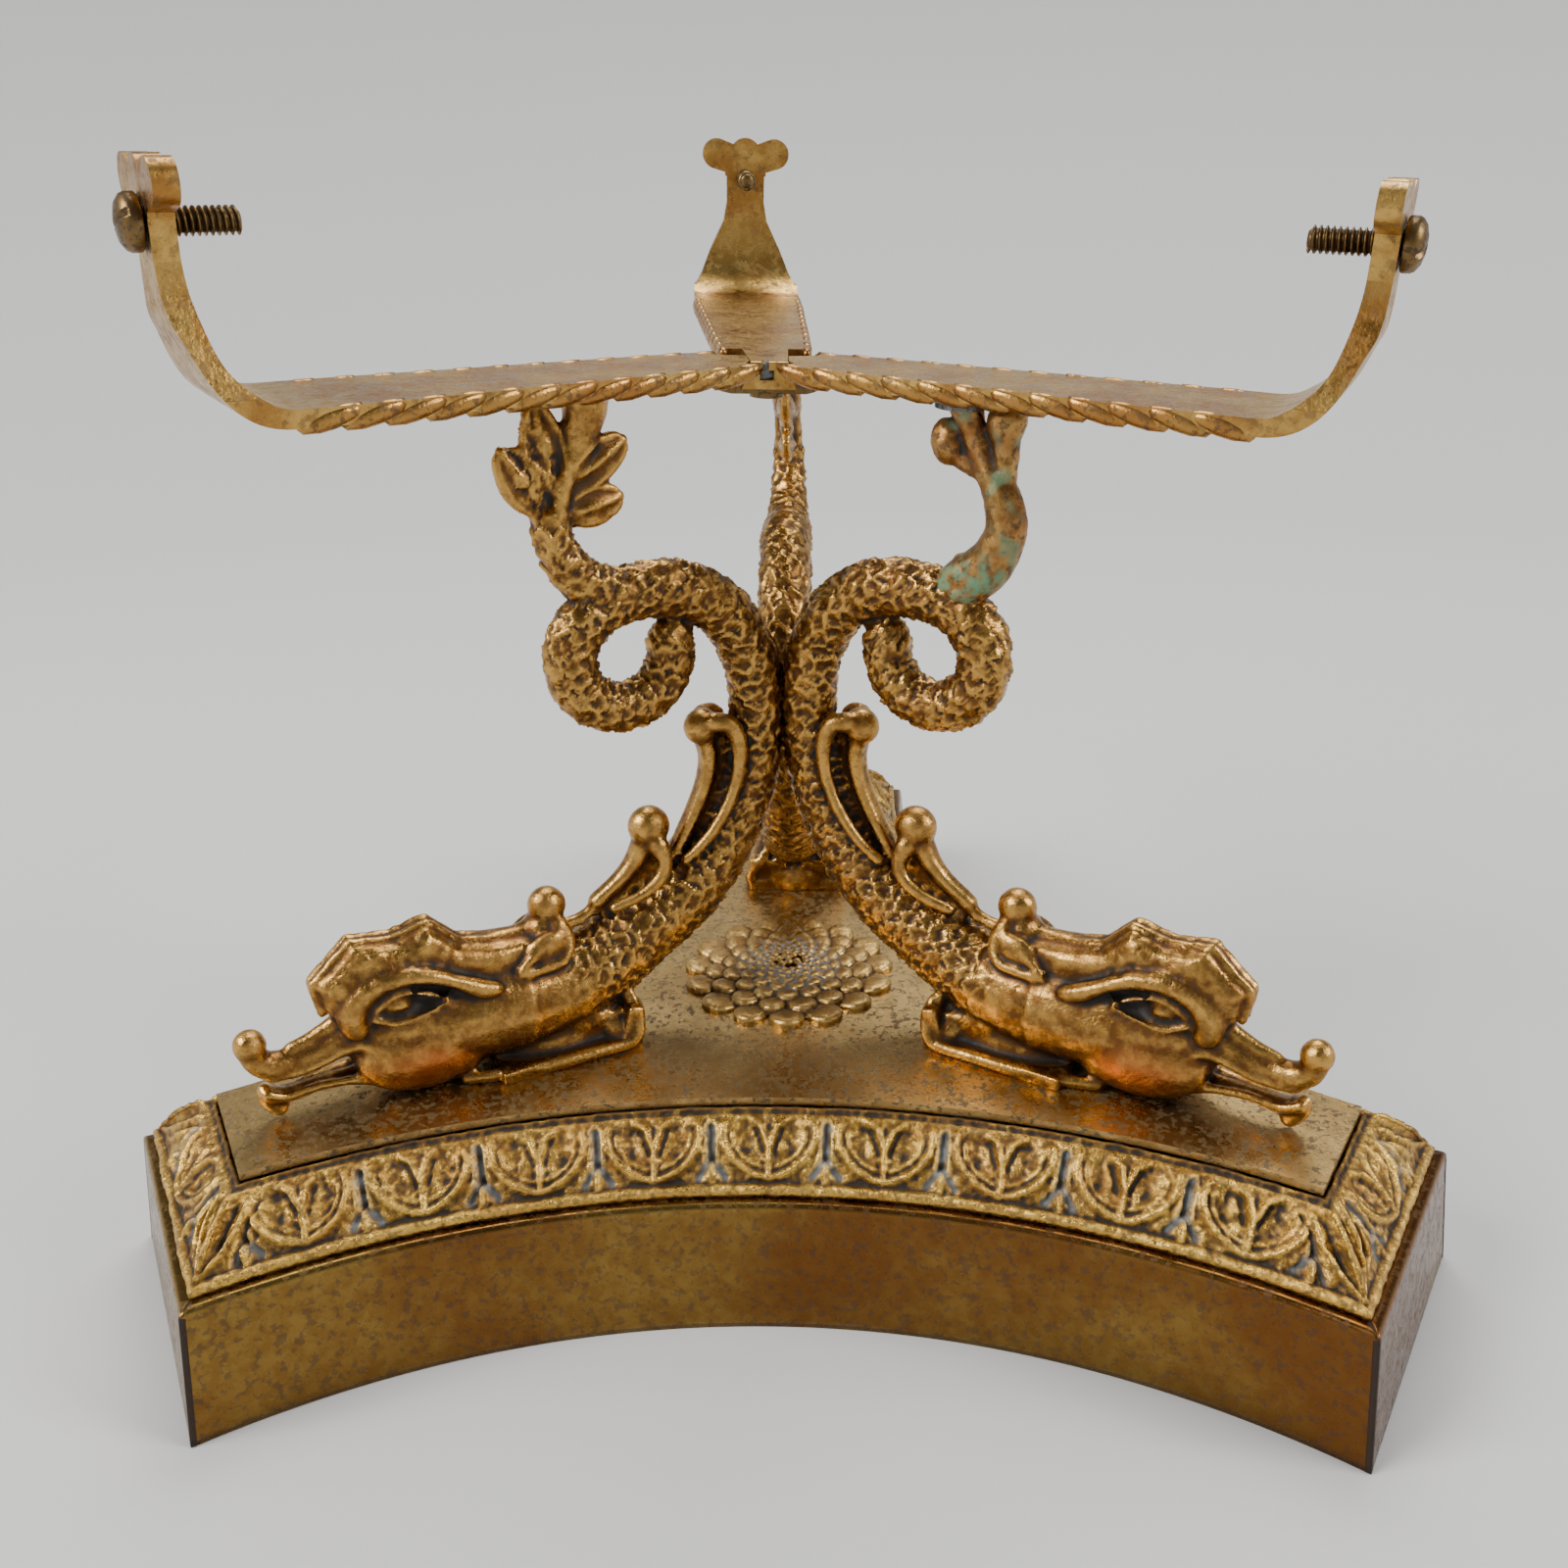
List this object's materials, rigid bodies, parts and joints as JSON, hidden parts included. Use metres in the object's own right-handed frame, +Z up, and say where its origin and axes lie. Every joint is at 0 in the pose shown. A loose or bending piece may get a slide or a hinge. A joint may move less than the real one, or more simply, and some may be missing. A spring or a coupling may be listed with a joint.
{
  "type": "three-armed bowl stand",
  "caption": "Cast and sheet brass stand: a three-cornered plinth, sea-dolphin supports and three upturned arms whose clamp screws grip a bowl.",
  "frame": {"origin": "on the stand's three-fold axis, in the plane it rests on", "axes": "+Z up; +Y towards the back end of the plinth; +X to the right, seen from the front"},
  "size_m": [0.3016, 0.2612, 0.2369],
  "materials": {
    "plinth_brass": "aged satin sheet brass, mottled brown",
    "moulding_brass": "stamped leaf moulding, brown in the hollows",
    "plate_brass": "dull speckled sheet brass",
    "cast_brass": "cast and chased, dark in the hollows",
    "mended_brass": "reddish replacement casting with verdigris",
    "arm_brass": "worn satin brass",
    "screw_bronze": "dark brown patina",
    "hidden_steel": "plain steel",
    "solder": "dull grey soft solder"
  },
  "bodies": {
    "stand": {"plinth_side_front": "plinth_brass", "plinth_side_right": "plinth_brass", "plinth_side_left": "plinth_brass", "plinth_end_left": "plinth_brass", "plinth_end_right": "plinth_brass", "plinth_end_back": "plinth_brass", "moulding_side_front": "moulding_brass", "moulding_side_right": "moulding_brass", "moulding_side_left": "moulding_brass", "moulding_end_left": "moulding_brass", "moulding_end_right": "moulding_brass", "moulding_end_back": "moulding_brass", "top_plate": "plate_brass", "rosette": "cast_brass", "rosette_nut": "hidden_steel", "dolphin_left": "cast_brass", "dolphin_right": "cast_brass", "dolphin_back": "cast_brass", "mended_tail_right": "mended_brass", "tail_solder": "solder", "dolphin_screws": "hidden_steel", "dolphin_washers": "hidden_steel", "arm_left": "arm_brass", "arm_right": "arm_brass", "arm_back": "arm_brass", "hub_disc": "arm_brass", "hub_rivet": "arm_brass"},
    "screw_left": {"clamp_screw_left": "screw_bronze"},
    "screw_right": {"clamp_screw_right": "screw_bronze"},
    "screw_back": {"clamp_screw_back": "screw_bronze"}
  },
  "joints": [
    {"name": "clamp_screw_left_travel", "type": "slide", "parent": "stand", "child": "screw_left", "axis": [-0.8058, -0.5919, 0.0199], "range_m": [0, 0.012]},
    {"name": "clamp_screw_right_travel", "type": "slide", "parent": "stand", "child": "screw_right", "axis": [0.9145, -0.4018, -0.0467], "range_m": [0, 0.012]},
    {"name": "clamp_screw_back_travel", "type": "slide", "parent": "stand", "child": "screw_back", "axis": [-0.1088, 0.9937, 0.0269], "range_m": [0, 0.012]}
  ]
}
